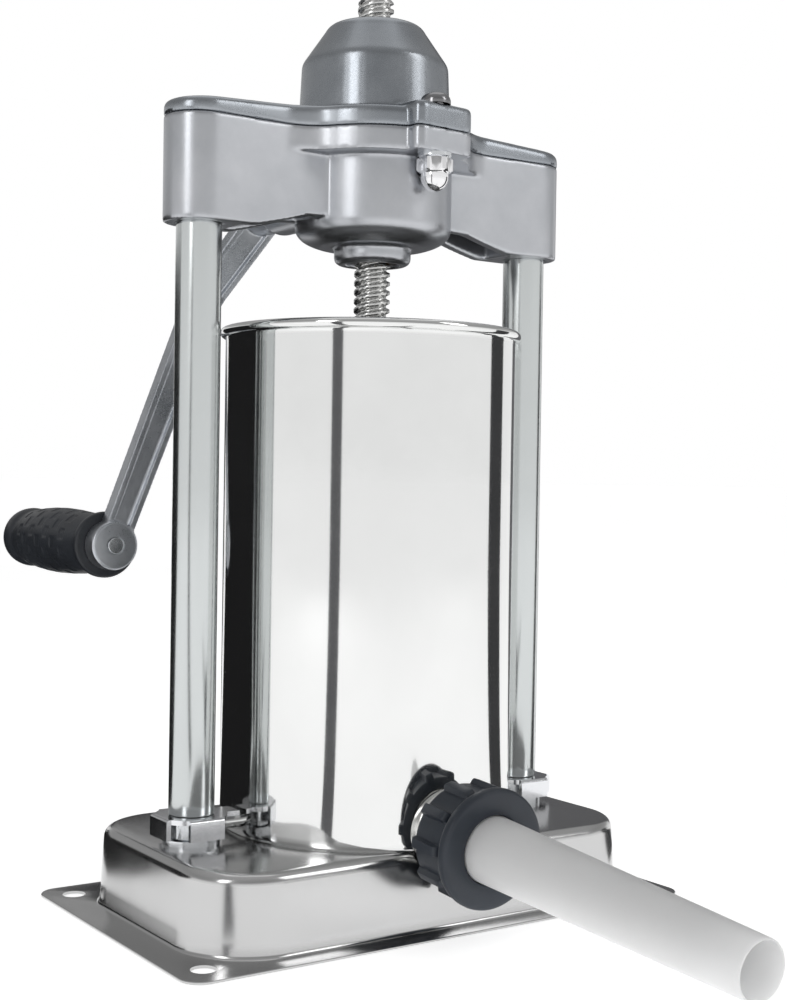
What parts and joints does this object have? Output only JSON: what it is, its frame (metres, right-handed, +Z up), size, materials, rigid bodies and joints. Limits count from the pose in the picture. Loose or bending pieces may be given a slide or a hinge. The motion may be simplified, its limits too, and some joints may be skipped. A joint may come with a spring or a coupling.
{
  "type": "sausage stuffer",
  "caption": "Vertical hand-cranked sausage stuffer: steel base, columns, cast geared head, screw-driven piston, cylinder, spout with ring nut and stuffing tube",
  "frame": {"origin": "centre of the base's underside, on the table plane", "axes": "+X runs from the left column to the right one as seen from the tube, -Y is the front where the tube leaves, +Z is up"},
  "size_m": [0.247, 0.4788, 0.396],
  "materials": {
    "base_steel": "polished",
    "cylinder_steel": "mirror polished",
    "spout_steel": "turned",
    "zinc_steel": "bright zinc plate",
    "clip_steel": "bright pressed sheet",
    "column_chrome": "polished",
    "nut_chrome": "polished",
    "head_casting": "satin cast",
    "cover_casting": "satin cast",
    "dark_steel": "dark",
    "bronze": "machined",
    "gear_steel": "machined, oiled",
    "bearing_steel": "ground",
    "arm_casting": "tumbled casting",
    "spindle_steel": "turned",
    "grip_plastic": "moulded",
    "screw_steel": "rolled thread",
    "piston_steel": "turned",
    "seal_rubber": "smooth",
    "tube_plastic": "translucent",
    "nut_plastic": "moulded"
  },
  "bodies": {
    "frame": {"base_pan": "base_steel", "base_backing_plates": "zinc_steel", "base_lock_nuts": "zinc_steel", "base_lock_washers": "zinc_steel", "foot_washers": "zinc_steel", "foot_nuts": "zinc_steel", "clip_left": "clip_steel", "clip_right": "clip_steel", "column_left": "column_chrome", "column_right": "column_chrome", "column_top_screws": "zinc_steel", "cylinder_shell": "cylinder_steel", "cylinder_floor": "cylinder_steel", "cylinder_lugs": "cylinder_steel", "spout": "spout_steel", "head_housing": "head_casting", "head_cover": "cover_casting", "cover_screws": "dark_steel", "acorn_nuts": "nut_chrome", "acorn_washers": "zinc_steel", "lower_bush": "bronze", "lower_thrust_washer": "bronze", "crank_bush": "bronze", "thrust_race_upper": "bearing_steel"},
    "gear_unit": {"drive_gear": "gear_steel", "screw_nut": "bronze", "gear_key": "gear_steel", "thrust_race_lower": "bearing_steel", "thrust_balls": "bearing_steel", "ball_cage": "bronze"},
    "crank": {"crank_shaft": "gear_steel", "pinion_gear": "gear_steel", "pinion_pin": "dark_steel", "crank_arm": "arm_casting", "crank_screw": "dark_steel", "crank_washer": "zinc_steel", "grip_spindle": "spindle_steel"},
    "handle": {"grip": "grip_plastic", "grip_cap": "grip_plastic"},
    "piston": {"lead_screw": "screw_steel", "piston_disc": "piston_steel", "piston_seal": "seal_rubber", "piston_nut": "zinc_steel", "piston_washer": "zinc_steel"},
    "air_valve": {"air_valve_stem": "piston_steel", "air_valve_seal": "seal_rubber"},
    "tube": {"stuffing_tube": "tube_plastic", "tube_gasket": "seal_rubber"},
    "ring_nut": {"ring_nut": "nut_plastic"}
  },
  "joints": [
    {"name": "crank_turn", "type": "hinge", "parent": "frame", "child": "crank", "pos_m": [0, 0.06, 0.316], "axis": [0, 1, 0], "range_deg": [0, 19260]},
    {"name": "gear_turn", "type": "hinge", "parent": "frame", "child": "gear_unit", "pos_m": [0, 0, 0.32], "axis": [0, 0, 1], "range_deg": [-9630, 0]},
    {"name": "piston_travel", "type": "slide", "parent": "frame", "child": "piston", "axis": [0, 0, 1], "range_m": [0, 0.2141]},
    {"name": "grip_spin", "type": "hinge", "parent": "crank", "child": "handle", "pos_m": [-0.06524, 0.16, 0.15039], "axis": [0, 1, 0], "continuous": true},
    {"name": "air_valve_lift", "type": "slide", "parent": "piston", "child": "air_valve", "axis": [0, 0, 1], "range_m": [0, 0.003]},
    {"name": "ring_nut_turn", "type": "hinge", "parent": "tube", "child": "ring_nut", "pos_m": [0, -0.0938, 0.0388], "axis": [0, -0.9976, -0.0698], "range_deg": [0, 3600]},
    {"name": "tube_pull", "type": "slide", "parent": "frame", "child": "tube", "axis": [0, -0.9976, -0.0698], "range_m": [0, 0.03]}
  ],
  "couplings": [
    {"joint": "gear_turn", "follows": "crank_turn", "ratio": -0.5},
    {"joint": "piston_travel", "follows": "crank_turn", "m_per_rad": 0.00063662},
    {"joint": "tube_pull", "follows": "ring_nut_turn", "m_per_rad": 0.00047746}
  ]
}
